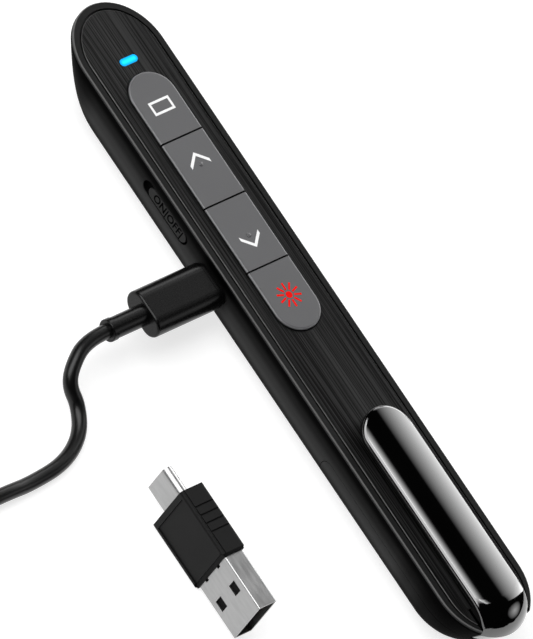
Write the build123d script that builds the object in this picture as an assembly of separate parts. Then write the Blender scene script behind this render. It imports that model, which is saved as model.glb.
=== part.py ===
from build123d import *
import math
import os

# Wireless presentation clicker with its charging lead and its two-ended USB receiver.
# Millimetres. +Y points out of the laser nose, +X to the right of a hand that points it, +Z out of the keys.
# The origin is on the table, under the middle of the flat underside.

os.makedirs("parts", exist_ok=True)

# ---------------------------------------------------------------- driving dimensions
# body
nose_tip = 73.9
tail_tip = -73.0
half_width = 10.0
plate_top = 12.6            # top face of the metal plate above the table
rim_top = 12.55             # top face of the frame round the plate
parting = 11.9              # where the frame sits on the lower shell
flat_half = 4.5             # half width of the flat underside
corner_rise = 6.0           # height of the rounded lower corner
prow_top = 11.4             # height where the ends begin to lean inwards
nose_lean = 17.6            # how far the underside is set back at the nose
tail_lean = 8.5
nose_round = 11.7           # length of the rounded end, seen from above
tail_round = 11.5
wall = 1.5
corner_steps = (90, 75, 60, 45, 30, 15, 0)      # degrees round the lower corner
side_levels = (8.0, 10.0)   # heights of two more outlines above it
# frame and plate
rim_chamfer = 0.22
panel_bottom = 10.9         # underside of the frame's panel
panel_inset = 1.1
rebate_inset = 1.0
pocket_inset = 1.35
pocket_floor = 12.1
plate_inset = 1.7
nose_share = 1.1            # the rim is a little wider round the nose
tail_share = 0.55           # and narrower round the tail
plate_chamfer = 0.12
# keys
key_pitch = 15.0
key_count = 4
key_gap = 0.35
column_mid = 27.45          # centre of the column of keys
column_half = 29.95
key_half = 5.3
key_top = 13.2
key_bottom = 10.3
key_fillet = 0.5
key_travel = 0.4
opening_play = 0.3
key_flange_half = 6.2
key_flange_top = 10.7
# board and what it carries
board_bottom = 7.6
board_top = 8.4
board_half = 7.6
board_front = 62.0
board_back = -22.0
board_corner = 3.0
# light
light_y = 60.7
light_length = 4.3
light_width = 1.65
# power switch, on the left side
slide_z = 8.5
slide_recess_mid = 31.4
slide_recess_half = 7.4
slide_recess_radius = 1.55
slide_recess_depth = 0.9
slide_knob_half = 6.25
slide_knob_radius = 1.3
slide_knob_rest = 30.75
slide_travel = 1.5
# charging port, on the left side
port_y = 15.0
port_z = 8.1
port_half = 4.6             # half the width of the opening in the wall
port_radius = 1.75
# laser
laser_z = 4.6
laser_radius = 2.6
laser_back = 46.5
laser_front = 57.0
bezel_radius = 2.3
bezel_bore = 1.6
# receiver bay in the tail
bay_front = -25.2
bay_seam = 7.3
bay_back = -62.5
bay_roof = 9.0
bay_roof_top = 9.8
seam_gap = 0.12
cover_corner = 2.0
cover_wall = 1.3
# clip
clip_half = 5.85
clip_tip = -22.6
clip_under = 14.3
clip_top = 16.3
clip_crown = 1.0            # rise of the top from its edges to its middle
clip_block_front = -65.6
clip_block_bottom = 8.6
clip_knuckle = 1.5          # round of the lower front corner, which swings past the panel
clip_end_top = 16.5         # where the roll of the tail end would meet a flat top
clip_end_round = 6.5        # radius of that roll
clip_end_blend = 6.0        # and of its blend into the crowned top
clip_edge = 0.8
clip_nib = 1.6              # radius of the ball under the tip
clip_play = 0.25
clip_swing = 0.4            # room in front of the clip's block, inside the shell
clip_floor = 7.95
pin_y = -67.5
pin_z = 10.2
pin_radius = 0.6
pin_half = 7.6
# receiver
receiver_x = -44.4
receiver_y = -28.6
receiver_width = 13.5       # stands up, along Z
receiver_thick = 5.7
receiver_length = 15.0
receiver_c_length = 6.2
# connector shells, standard sizes
a_width = 12.0
a_thick = 4.5
a_wall = 0.3
a_length = 12.5
c_width = 8.25
c_thick = 2.4
c_wall = 0.3
# charging lead
plug_length = 16.6
plug_width = 10.0
plug_thick = 5.5
plug_gap = 0.35             # between the plug's collar and the wall
collar_length = 0.7
relief_length = 9.0
relief_radius = 2.15
relief_lip = 2.3
cord_radius = 1.5
coil_x = -91.0
coil_y = 14.0
coil_radius = 16.5          # middle of the turns
coil_lift = 0.6             # thickness of the tie that the coil lies on
coil_stub = 12.0            # straight stretch where a turn leaves the ring
tail_run = 12.0
a_relief_length = 7.0
a_boot_length = 16.0
a_boot_width = 15.5
a_boot_thick = 7.6
tie_width = 7.0
# cuts
beyond = 100.0              # a cut that has to pass right through reaches this far
overlap = 0.1               # a cut reaches this far past the face that it starts from


# ---------------------------------------------------------------- helpers
def block(x0, x1, y0, y1, z0, z1):
    size = (x1 - x0, y1 - y0, z1 - z0)
    return Pos((x0 + x1) / 2, (y0 + y1) / 2, (z0 + z1) / 2) * Box(*size)


def rod_x(x0, x1, y, z, radius):
    return Pos((x0 + x1) / 2, y, z) * Rot(0, 90, 0) * Cylinder(radius, x1 - x0)


def rod_y(x, y0, y1, z, radius):
    return Pos(x, (y0 + y1) / 2, z) * Rot(90, 0, 0) * Cylinder(radius, y1 - y0)


def rod_z(x, y, z0, z1, radius):
    return Pos(x, y, (z0 + z1) / 2) * Cylinder(radius, z1 - z0)


def raise_up(face, height):
    return extrude(face, height, dir=(0, 0, 1))


def slot_z(x, y, half, radius, z0, z1, turn=0):
    # an upright rounded slot; half is its half length, along Y unless turned
    flat = Rot(0, 0, 90 + turn) * SlotOverall(2 * half, 2 * radius)
    return raise_up(Pos(x, y, z0) * flat, z1 - z0)


def slot_x(x0, x1, y, z, half, radius):
    # a rounded slot that runs along X, wide along Y
    flat = Plane(origin=(x0, y, z), x_dir=(0, 1, 0), z_dir=(1, 0, 0)) * SlotOverall(2 * half, 2 * radius)
    return extrude(flat, x1 - x0, dir=(1, 0, 0))


def slot_y(x, y0, y1, z, half, radius):
    # a rounded slot that runs along Y, wide along Z
    flat = Plane(origin=(x, y0, z), x_dir=(0, 0, 1), z_dir=(0, 1, 0)) * SlotOverall(2 * half, 2 * radius)
    return extrude(flat, y1 - y0, dir=(0, 1, 0))


def both_sides(shape):
    # the shape and its twin on the other side of the body
    return shape + mirror(shape, Plane.YZ)


def save(name, shape):
    export_step(shape, f"parts/{name}.step")


# ---------------------------------------------------------------- body outline
def outline(width, nose, tail, z):
    # seen from above: straight sides and two elliptical ends
    nose_y = nose_round * width / half_width
    tail_y = tail_round * width / half_width
    front = EllipticalCenterArc((0, nose - nose_y), width, nose_y, 0, arc_size=180)
    back = EllipticalCenterArc((0, tail + tail_y), width, tail_y, 180, arc_size=180)
    left = Line((-width, nose - nose_y), (-width, tail + tail_y))
    right = Line((width, tail + tail_y), (width, nose - nose_y))
    return Pos(0, 0, z) * make_face([front, left, back, right])


def plan(inset, z, at_nose=1.0, at_tail=1.0):
    # the outline of the rim, moved inwards, at the two ends by their own share of the inset
    return outline(half_width - inset, nose_tip - at_nose * inset, tail_tip + at_tail * inset, z)


def level(z, inset):
    # the outline of the body at height z, moved inwards by inset
    width = half_width - inset
    if z < corner_rise:
        drop = (corner_rise - z) / (corner_rise - inset)
        width = flat_half + (width - flat_half) * math.sqrt(max(0.0, 1 - drop ** 2))
    lean = 1 - math.sqrt(max(0.0, 1 - max(0.0, prow_top - z) / (prow_top - inset)))
    nose = nose_tip - inset - nose_lean * lean
    tail = tail_tip + inset + tail_lean * lean
    return outline(width, nose, tail, z)


def hull(inset, top):
    # the whole body, or its hollow, from the bottom to a height above the rounded corner
    rise = corner_rise - inset
    heights = [corner_rise - rise * math.sin(math.radians(a)) for a in corner_steps]
    heights += [*side_levels, prow_top]
    body_below = loft([level(z, inset) for z in heights])
    return body_below + raise_up(level(prow_top, inset), top - prow_top)


def bay_region(front, seam):
    # everything below the seam and behind the bay's front edge, with the front corner rounded
    side = Polyline((-beyond, -beyond), (front, -beyond), (front, seam), (-beyond, seam), close=True)
    solid = extrude(make_face(Plane.YZ * side), beyond, both=True)
    upper_edges = solid.edges().filter_by(Axis.X).group_by(Axis.Z)[-1].sort_by(Axis.Y)
    return fillet(upper_edges[-1], cover_corner)


body = hull(0.0, parting)
left_wall = -half_width
key_spots = [column_mid + key_pitch * (i - (key_count - 1) / 2) for i in range(key_count)]
# where the screws stand
case_screw_ys = (-30.0, -57.0)
case_screw_top = 11.6
board_post_x = 6.0
board_post_y = 40.5
board_screw_end = 4.0
screw_radius = 0.8
screw_head = 1.5
case_head_top = bay_roof + 0.5

# ---------------------------------------------------------------- lower shell
rib_thick = 1.2
board_rib_ys = (-21.5, 35.5, 44.5)
cradle_rib_ys = (48.0, 54.0)
cradle_half = 3.6
post_radius = 1.9
bulkhead_gap = 0.2
bulkhead_thick = 1.6
bezel_wall = 1.2
bezel_gap = 0.3             # between the board's front edge and the seat of the bezel

board_ribs = [block(-beyond, beyond, y, y + rib_thick, 0, board_bottom) for y in board_rib_ys]
cradle_ribs = [block(-cradle_half, cradle_half, y, y + rib_thick, 0, laser_z) for y in cradle_rib_ys]
board_post = rod_z(board_post_x, board_post_y, 0, board_bottom, post_radius)
bulkhead_back = bay_front + bulkhead_gap
bulkhead_front = bulkhead_back + bulkhead_thick
bulkhead = block(-beyond, beyond, bulkhead_back, bulkhead_front, 0, bay_roof_top)
roof = block(-beyond, beyond, bay_back - wall, bulkhead_front, bay_roof, bay_roof_top)
tail_block = block(-beyond, beyond, -beyond, bay_back, bay_seam, parting)
bezel_seat = rod_y(0, board_front + bezel_gap, nose_tip, laser_z, bezel_radius + bezel_wall)

shell = body - hull(wall, parting + wall)
inner_parts = both_sides(board_post) + board_ribs + cradle_ribs + bulkhead + roof + tail_block + bezel_seat
shell += body & inner_parts
# rebate for the frame's panel, over the whole length in front of the tail block
rebate = raise_up(plan(rebate_inset, panel_bottom), beyond)
shell -= rebate & block(-beyond, beyond, bay_back, beyond, 0, beyond)
# receiver bay, open downwards until its cover is on
shell -= bay_region(bay_front, bay_seam + seam_gap)
# laser bore
barrel_fit = 0.05
shell -= rod_y(0, laser_front - overlap, beyond, laser_z, bezel_radius)
shell -= rod_y(0, board_post_y, laser_front, laser_z, laser_radius + barrel_fit)
# openings in the left wall: charging port, recess for the switch knob, slot for its tongue
opening_end = left_wall + 2 * wall
knob_tongue_half = 1.0
knob_tongue_low = 8.6
knob_tongue_high = 9.4
tongue_end_play = 0.25
tongue_side_play = 0.2
slide_slot_half = knob_tongue_half + slide_travel / 2 + tongue_end_play
slide_slot_mid = slide_knob_rest + slide_travel / 2
slide_slot_back = slide_slot_mid - slide_slot_half
slide_slot_front = slide_slot_mid + slide_slot_half
recess_floor = left_wall + slide_recess_depth
shell -= slot_x(-beyond, opening_end, port_y, port_z, port_half, port_radius)
shell -= slot_x(-beyond, recess_floor, slide_recess_mid, slide_z, slide_recess_half, slide_recess_radius)
shell -= block(-beyond, opening_end, slide_slot_back, slide_slot_front, knob_tongue_low - tongue_side_play,
               knob_tongue_high + tongue_side_play)
# room for the clip's block and its pin
notch_half = clip_half + clip_play
shell -= block(-notch_half, notch_half, -beyond, clip_block_front + clip_swing, clip_floor, beyond)
shell -= rod_x(-pin_half, pin_half, pin_y, pin_z, pin_radius)
# rails that the bay cover slides on
rail_inner = 8.75
rail_outer = 9.25
rail_back = -58.0
rail_front = bay_front - 2.5
rail_depth = 0.7
rail_root = 0.4
rail_low = bay_seam - rail_depth
shell += both_sides(block(rail_inner, rail_outer, rail_back, rail_front, rail_low, bay_seam + rail_root))
# screw holes
for y in case_screw_ys:
    shell -= rod_z(0, y, bay_roof - overlap, case_head_top, screw_head)
    shell -= rod_z(0, y, case_head_top - overlap, bay_roof_top + overlap, screw_radius)
shell -= both_sides(rod_z(board_post_x, board_post_y, board_screw_end, board_bottom + overlap, screw_radius))
save("lower_shell", shell)

# ---------------------------------------------------------------- bay cover
rail_play = 0.1
groove_back = rail_back - 1.5
groove = block(rail_inner - rail_play, rail_outer + rail_play, groove_back, beyond, rail_low - rail_play,
               bay_seam + overlap)
cover = (body - hull(cover_wall, parting + wall)) & bay_region(bay_front - seam_gap, bay_seam)
save("bay_cover", cover - both_sides(groove))

# ---------------------------------------------------------------- upper frame
frame_post_radius = 2.0
notch = block(-notch_half, notch_half, -beyond, clip_block_front + clip_play, 0, beyond)
light_hole = slot_z(0, light_y, light_length / 2, light_width / 2, 0, beyond, turn=90)
flange = raise_up(plan(0, parting), rim_top - parting)
flange = chamfer(flange.edges().group_by(Axis.Z)[-1], rim_chamfer)
panel = raise_up(plan(panel_inset, panel_bottom), parting - panel_bottom)
panel &= block(-beyond, beyond, bay_back + overlap, beyond, 0, beyond)
frame = flange + panel
frame -= raise_up(plan(pocket_inset, pocket_floor, nose_share, tail_share), beyond)
frame -= slot_z(0, column_mid, column_half + opening_play, key_half + opening_play, 0, beyond)
frame -= light_hole + notch
for y in case_screw_ys:
    frame += rod_z(0, y, bay_roof_top, panel_bottom, frame_post_radius)
    frame -= rod_z(0, y, bay_roof_top - overlap, case_screw_top, screw_radius)
save("upper_frame", frame)

# ---------------------------------------------------------------- top plate
plate_play = opening_play / 2
plate = raise_up(plan(plate_inset, pocket_floor, nose_share, tail_share), plate_top - pocket_floor)
plate = chamfer(plate.edges().group_by(Axis.Z)[-1], plate_chamfer)
plate -= slot_z(0, column_mid, column_half + plate_play, key_half + plate_play, 0, beyond)
save("top_plate", plate - (light_hole + notch))

# ---------------------------------------------------------------- status light
light_play = 0.05
light_stand = 0.04          # the window stands this much above the plate
pipe_bottom = 9.3
pipe_flange_bottom = 10.3
pipe_flange = 0.8
lamp_half_x = 0.8
lamp_half_y = 0.4
lamp_height = 0.6
pipe_half = light_length / 2 - light_play
pipe_radius = light_width / 2 - light_play
light_pipe = slot_z(0, light_y, pipe_half, pipe_radius, pipe_bottom, plate_top + light_stand, turn=90)
light_pipe += slot_z(0, light_y, pipe_half + pipe_flange, pipe_radius + pipe_flange, pipe_flange_bottom,
                     panel_bottom, turn=90)
save("light_pipe", light_pipe)
lamp = block(-lamp_half_x, lamp_half_x, light_y - lamp_half_y, light_y + lamp_half_y, board_top,
             board_top + lamp_height)
save("status_light", lamp)

# ---------------------------------------------------------------- keys
key_names = ("laser_key", "down_key", "up_key", "screen_key")
column = slot_z(0, column_mid, column_half, key_half, key_flange_top, key_top)
column = fillet(column.edges().group_by(Axis.Z)[-1], key_fillet)
straight_half = column_half - key_half
for name, y in zip(key_names, key_spots):
    low = y - key_pitch / 2 + key_gap / 2
    high = y + key_pitch / 2 - key_gap / 2
    flange_low = max(low, column_mid - straight_half)
    flange_high = min(high, column_mid + straight_half)
    cap = column & block(-beyond, beyond, low, high, 0, beyond)
    key_flange = block(-key_flange_half, key_flange_half, flange_low, flange_high, key_bottom, key_flange_top)
    save(name, cap + key_flange)

# ---------------------------------------------------------------- board
socket_back = -2.5
socket_play = 0.1
switch_side = 4.5
switch_height = 0.8
plunger_play = 0.05
plunger_radius = 1.0
chip_height = 0.9
controller_x = 4.8
controller_y = 27.5
controller_side = 4.4
charger_x = 4.3
charger_y = 13.0
charger_side = 3.0

board_outline = Pos(0, (board_front + board_back) / 2, board_bottom) * RectangleRounded(
    2 * board_half, board_front - board_back, board_corner)
board = raise_up(board_outline, board_top - board_bottom)
board -= block(-beyond, socket_back + socket_play, port_y - port_half, port_y + port_half, 0, beyond)
board -= both_sides(rod_z(board_post_x, board_post_y, 0, beyond, screw_radius))
save("main_board", board)


def on_board(x, y, side, height):
    # a square component that stands on the board
    return block(x - side / 2, x + side / 2, y - side / 2, y + side / 2, board_top, board_top + height)


plunger_top = key_bottom - key_travel - plunger_play
for i, y in enumerate(key_spots):
    plunger = rod_z(0, y, board_top + switch_height, plunger_top, plunger_radius)
    save(f"key_switch_{i + 1}", on_board(0, y, switch_side, switch_height) + plunger)
save("controller_chip", on_board(controller_x, controller_y, controller_side, chip_height))
save("charger_chip", on_board(charger_x, charger_y, charger_side, chip_height))

# ---------------------------------------------------------------- screws
board_head_height = 0.6
board_screws = []
for x in (-board_post_x, board_post_x):
    shank = rod_z(x, board_post_y, board_screw_end, board_top, screw_radius)
    board_screws.append(shank + rod_z(x, board_post_y, board_top, board_top + board_head_height, screw_head))
save("board_screws", Compound(children=board_screws))
case_screws = []
for y in case_screw_ys:
    shank = rod_z(0, y, case_head_top, case_screw_top, screw_radius)
    case_screws.append(shank + rod_z(0, y, bay_roof, case_head_top, screw_head))
save("case_screws", Compound(children=case_screws))

# ---------------------------------------------------------------- battery and foam
pad_half = 4.2
pad_back = -16.0
pad_front = 28.0
cell_width = 12.0
cell_length = 50.0
cell_thick = 4.2
cell_bottom = 2.0
cell_corner = 1.5
cell_round = 1.0
bay_pad_half = 6.0
bay_pad_back = -52.0
bay_pad_front = -36.0
bay_pad_thick = 0.6
save("battery_pad", block(-pad_half, pad_half, pad_back, pad_front, wall, cell_bottom))
cell_outline = RectangleRounded(cell_width, cell_length, cell_corner)
cell = raise_up(Pos(0, (pad_back + pad_front) / 2, cell_bottom) * cell_outline, cell_thick)
save("battery_cell", fillet(cell.edges().group_by(Axis.Z)[0], cell_round))
save("bay_pad", block(-bay_pad_half, bay_pad_half, bay_pad_back, bay_pad_front, bay_roof - bay_pad_thick,
                      bay_roof))

# ---------------------------------------------------------------- charging socket
socket_front = -9.3
socket_half = 4.47
socket_radius = 1.63
socket_end_wall = 0.6
plug_fit = 0.05
tongue_front = -8.9
tongue_half = 3.35
tongue_thick = 0.7
mouth_back = socket_back - socket_end_wall
socket = slot_x(socket_front, socket_back, port_y, port_z, socket_half, socket_radius)
socket -= slot_x(-beyond, mouth_back, port_y, port_z, c_width / 2 + plug_fit, c_thick / 2 + plug_fit)
save("socket_shell", socket)
save("socket_tongue", block(tongue_front, mouth_back, port_y - tongue_half, port_y + tongue_half,
                            port_z - tongue_thick / 2, port_z + tongue_thick / 2))

# ---------------------------------------------------------------- power switch
can_outer = -7.9
can_inner = -5.2
can_half = 4.3
can_height = 1.3
can_wall = 0.8
can_play = 0.1
knob_outer = -9.95
knob_clear = 0.15           # between the knob and the floor of its recess
knob_edge = 0.2
knob_tongue_outer = -9.4
knob_tongue_inner = -7.3
switch_can = block(can_outer, can_inner, slide_slot_mid - can_half, slide_slot_mid + can_half, board_top,
                   board_top + can_height)
switch_can -= block(-beyond, can_outer + can_wall, slide_slot_back, slide_slot_front,
                    knob_tongue_low - can_play, knob_tongue_high + can_play)
save("power_switch_body", switch_can)
knob = slot_x(knob_outer, recess_floor - knob_clear, slide_knob_rest, slide_z, slide_knob_half,
              slide_knob_radius)
knob = fillet(knob.edges().group_by(Axis.X)[0], knob_edge)
knob += block(knob_tongue_outer, knob_tongue_inner, slide_knob_rest - knob_tongue_half,
              slide_knob_rest + knob_tongue_half, knob_tongue_low, knob_tongue_high)
save("power_switch_knob", knob)

# ---------------------------------------------------------------- laser
barrel_bore = 1.2
barrel_depth = 6.0
driver_length = 1.0
driver_step = 0.2
lens_thick = 1.4
lens_round = 0.5
barrel = rod_y(0, laser_back, laser_front, laser_z, laser_radius)
save("laser_barrel", barrel - rod_y(0, laser_front - barrel_depth, beyond, laser_z, barrel_bore))
save("laser_driver", rod_y(0, laser_back - driver_length, laser_back, laser_z, laser_radius - driver_step))
bezel = rod_y(0, laser_front, beyond, laser_z, bezel_radius) & body
save("laser_bezel", bezel - rod_y(0, laser_front - overlap, beyond, laser_z, bezel_bore))
lens = rod_y(0, laser_front, laser_front + lens_thick, laser_z, bezel_bore)
save("laser_lens", fillet(lens.edges().group_by(Axis.Y)[-1], lens_round))

# ---------------------------------------------------------------- clip
front_mid = clip_tip - clip_half
clip_face = Circle(clip_half) + Pos(0, -beyond / 2) * Rectangle(2 * clip_half, beyond)
clip = raise_up(Pos(0, front_mid, clip_floor) * clip_face, beyond)
side_view = Polyline(
    (beyond, clip_under), (beyond, clip_top), (-beyond, clip_top), (-beyond, clip_block_bottom),
    (clip_block_front, clip_block_bottom), (clip_block_front, clip_under), close=True)
side_solid = extrude(make_face(Plane.YZ * side_view), beyond, both=True)
knuckle_edges = side_solid.edges().filter_by(Axis.X).group_by(Axis.Z)[0].sort_by(Axis.Y)
clip &= fillet(knuckle_edges[-1], clip_knuckle)
# the end follows the body's tail, and above it the tail's outline is carried up and rolled over
clip &= hull(0.0, clip_end_top)
tail_roll = raise_up(plan(0, clip_floor), clip_end_top - clip_floor)
clip &= fillet(tail_roll.edges().group_by(Axis.Z)[-1], clip_end_round)
# the crowned top, a shallow arch across the clip
crown_radius = (clip_half ** 2 + clip_crown ** 2) / (2 * clip_crown)
clip &= rod_y(0, -beyond, beyond, clip_top - crown_radius, crown_radius)
crown_low = clip_top - clip_crown - overlap
end_line = tail_tip + 2 * clip_end_round
upper_edges = clip.edges().filter_by(lambda e: e.center().Z > crown_low)
crease = upper_edges.filter_by(lambda e: e.length > clip_half and e.center().Y < end_line)
clip = fillet(crease, clip_end_blend)
upper_edges = clip.edges().filter_by(lambda e: e.center().Z > crown_low)
rim_edges = upper_edges.filter_by(lambda e: e.length > clip_half and e.center().Y > end_line)
clip = fillet(rim_edges, clip_edge)
# the nib under the tip, the bore for the pin and the slot for its spring
nib_back = 5.0
nib_drop = 1.0
nib_root = 0.5
pin_fit = 0.03
spring_slot_half = 1.9
spring_slot_back = pin_y - 2.2
spring_slot_front = -60.0
spring_slot_top = 12.4
nib = Pos(0, clip_tip - nib_back, clip_under) * Sphere(clip_nib)
clip += nib & block(-beyond, beyond, -beyond, beyond, clip_under - nib_drop, clip_under + nib_root)
clip -= rod_x(-beyond, beyond, pin_y, pin_z, pin_radius + pin_fit)
clip -= block(-spring_slot_half, spring_slot_half, spring_slot_back, spring_slot_front, 0, spring_slot_top)
save("clip", clip)
save("clip_pin", rod_x(-pin_half, pin_half, pin_y, pin_z, pin_radius))

# torsion spring, wound round the pin
spring_mean = 1.15
spring_wire = 0.25
spring_pitch = 0.62
spring_turns = 4
spring_length = spring_turns * spring_pitch
turns = Helix(pitch=spring_pitch, height=spring_length, radius=spring_mean)
wire_end = Plane(origin=turns @ 0, z_dir=turns % 0) * Circle(spring_wire)
spring = sweep(wire_end, path=turns)
save("clip_spring", Pos(-spring_length / 2, pin_y, pin_z) * Rot(0, 90, 0) * spring)

# ---------------------------------------------------------------- USB-A connectors
a_round = 0.35
a_back_wall = 0.6
window_x = 3.15             # the two square windows in the broad faces
window_half = 1.15
window_front = 5.2          # behind the mouth
window_back = 7.55
latch_x = 2.7               # two small slots where the shell leaves its case
latch_half = 0.55
latch_length = 0.5
a_tongue_thick = 1.85
a_tongue_set_back = 0.7
pad_xs = (-3.5, -1.1, 1.1, 3.5)
pad_half_width = 0.6
pad_lift = 0.1
pad_nose = 1.5
pad_tail = 8.4


def a_connector():
    # a USB-A plug end along +Y from the origin, wide along X, with its tongue towards -Z
    half_x = a_width / 2
    half_z = a_thick / 2
    inner_x = half_x - a_wall
    inner_z = half_z - a_wall
    outer = block(-half_x, half_x, 0, a_length, -half_z, half_z)
    metal = fillet(outer.edges().filter_by(Axis.Y), a_round)
    metal -= block(-inner_x, inner_x, a_back_wall, beyond, -inner_z, inner_z)
    for side in (-1, 1):
        window_mid = side * window_x
        latch_mid = side * latch_x
        metal -= block(window_mid - window_half, window_mid + window_half, a_length - window_back,
                       a_length - window_front, -beyond, beyond)
        metal -= block(latch_mid - latch_half, latch_mid + latch_half, a_back_wall,
                       a_back_wall + latch_length, -beyond, beyond)
    tongue_top = a_tongue_thick - inner_z
    tongue_part = block(-inner_x, inner_x, a_back_wall, a_length - a_tongue_set_back, -inner_z, tongue_top)
    pads = []
    for x in pad_xs:
        pads.append(block(x - pad_half_width, x + pad_half_width, a_length - pad_tail, a_length - pad_nose,
                          tongue_top, tongue_top + pad_lift))
    return metal, tongue_part, pads


# ---------------------------------------------------------------- receiver
# modelled about its own middle, standing on its narrow side, then put in its place on the table
case_round = 0.6
case_chamfer = 0.5
face_recess = 0.25
face_border = 1.0
face_border_end = 1.2       # at the USB-C end
seam_x = -2.1               # the front cover's seam, along both narrow sides
seam_width = 0.18
groove_count = 4
groove_first = 4.0          # from the USB-C end
groove_pitch = 1.87
groove_width = 0.4
groove_depth = 0.35
frame_length = 0.9          # the black inner frame round the USB-A shell
frame_step = 0.35           # how far it lies below the case's faces
frame_rim = 0.35
cavity_half_x = 2.1
cavity_half_y = 6.9
cavity_margin = 1.6
a_root_depth = 0.9
c_root = 1.3
c_end_wall = 2.0
receiver_board_half = 0.4
receiver_board_back = -5.9
receiver_board_front = 6.1
receiver_board_margin = 2.0
receiver_chip_half = 2.5
receiver_chip_height = 1.0

stand = Pos(receiver_x, receiver_y, 0)
receiver_mid = receiver_width / 2
case_y = receiver_length / 2
case_x = receiver_thick / 2
case = block(-case_x, case_x, -case_y, case_y, 0, receiver_width)
case = fillet(case.edges().filter_by(Axis.Y), case_round)
case = chamfer(case.edges().group_by(Axis.Y)[0], case_chamfer)
recess = block(case_x - face_recess, beyond, -beyond, case_y - face_border_end, face_border,
               receiver_width - face_border)
case -= both_sides(recess)
# the seam and the grip grooves are cut into the upper and the lower narrow side alike
grooves = block(seam_x, seam_x + seam_width, -beyond, beyond, receiver_width - groove_depth, beyond)
for i in range(groove_count):
    groove_y = case_y - groove_first - groove_pitch * i
    grooves += block(seam_x, beyond, groove_y - groove_width / 2, groove_y + groove_width / 2,
                     receiver_width - groove_depth, beyond)
case -= grooves
case -= Pos(0, 0, receiver_mid) * mirror(Pos(0, 0, -receiver_mid) * grooves, Plane.XY)
case -= block(-cavity_half_x, cavity_half_x, -cavity_half_y, cavity_half_y, cavity_margin,
              receiver_width - cavity_margin)
# the USB-A shell's seat and the inner frame round it
a_low = receiver_mid - a_width / 2
a_high = receiver_mid + a_width / 2
a_seat_end = a_back_wall + a_root_depth - case_y
a_seat = block(-a_thick / 2, a_thick / 2, -beyond, a_seat_end, a_low, a_high)
frame_end = frame_length - case_y
frame_low = a_low - frame_rim
frame_high = a_high + frame_rim
inner_frame = block(frame_step - case_x, case_x - frame_step, -case_y, frame_end, frame_low, frame_high)
case -= a_seat + block(-beyond, beyond, -beyond, frame_end, frame_low, frame_high)
case -= slot_y(0, 0, beyond, receiver_mid, c_width / 2, c_thick / 2)
save("receiver_case", stand * case)
save("receiver_inner_frame", stand * (inner_frame - a_seat))
metal, tongue_part, pads = a_connector()
a_root = block(-a_width / 2, a_width / 2, -a_root_depth, a_back_wall, -a_thick / 2, a_thick / 2)
turn_a = stand * Pos(0, a_back_wall - case_y, receiver_mid) * Rot(180, 0, 0) * Rot(0, 90, 0)
save("receiver_a_shell", turn_a * (metal + a_root))
save("receiver_a_tongue", turn_a * tongue_part)
save("receiver_a_contacts", Compound(children=[turn_a * p for p in pads]))
c_back = case_y - c_root
c_tip = case_y + receiver_c_length
c_metal = slot_y(0, c_back, c_tip, receiver_mid, c_width / 2, c_thick / 2)
c_metal -= slot_y(0, c_back + c_end_wall, beyond, receiver_mid, c_width / 2 - c_wall, c_thick / 2 - c_wall)
save("receiver_c_shell", stand * c_metal)
save("receiver_board", stand * block(-receiver_board_half, receiver_board_half, receiver_board_back,
                                     receiver_board_front, receiver_board_margin,
                                     receiver_width - receiver_board_margin))
save("receiver_chip", stand * block(receiver_board_half, receiver_board_half + receiver_chip_height,
                                    -receiver_chip_half, receiver_chip_half,
                                    receiver_mid - receiver_chip_half, receiver_mid + receiver_chip_half))

# ---------------------------------------------------------------- charging plug
c_seat_depth = 1.5          # how deep the metal sits in the overmould
c_reach = -4.6              # where the plug's metal ends, inside the socket
collar_step = 0.35
plug_back_round = 0.5
plug_front_round = 0.25
plug_line = 0.6             # a fine line round the plug, this far from its front edge
plug_line_width = 0.15
plug_line_depth = 0.12
relief_round = 0.25
relief_lip_length = 1.3
c_mouth_depth = 4.95

collar_front = left_wall - plug_gap
collar_back = collar_front - collar_length
plug_back = collar_back - plug_length
relief_end = plug_back - relief_length
c_seat = slot_x(collar_back - c_seat_depth, c_reach, port_y, port_z, c_width / 2, c_thick / 2)
c_mouth = slot_x(c_reach - c_mouth_depth, beyond, port_y, port_z, c_width / 2 - c_wall,
                 c_thick / 2 - c_wall)
save("lead_c_shell", c_seat - c_mouth)
collar = slot_x(collar_back, collar_front, port_y, port_z, plug_width / 2 - collar_step,
                plug_thick / 2 - collar_step)
save("lead_c_collar", collar - c_seat)
overmould = slot_x(plug_back, collar_back, port_y, port_z, plug_width / 2, plug_thick / 2)
overmould = fillet(overmould.edges().group_by(Axis.X)[0], plug_back_round)
overmould = fillet(overmould.edges().group_by(Axis.X)[-1], plug_front_round)
line_start = collar_back - plug_line - plug_line_width
line_end = line_start + plug_line_width
line_ring = slot_x(line_start, line_end, port_y, port_z, plug_width, plug_thick)
line_ring -= slot_x(line_start, line_end, port_y, port_z, plug_width / 2 - plug_line_depth,
                    plug_thick / 2 - plug_line_depth)
save("lead_c_plug", overmould - line_ring - c_seat)
relief = rod_x(relief_end, plug_back, port_y, port_z, relief_radius)
relief += rod_x(relief_end, relief_end + relief_lip_length, port_y, port_z, relief_lip)
save("lead_c_relief", fillet(relief.edges().group_by(Axis.X)[0], relief_round))

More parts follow.
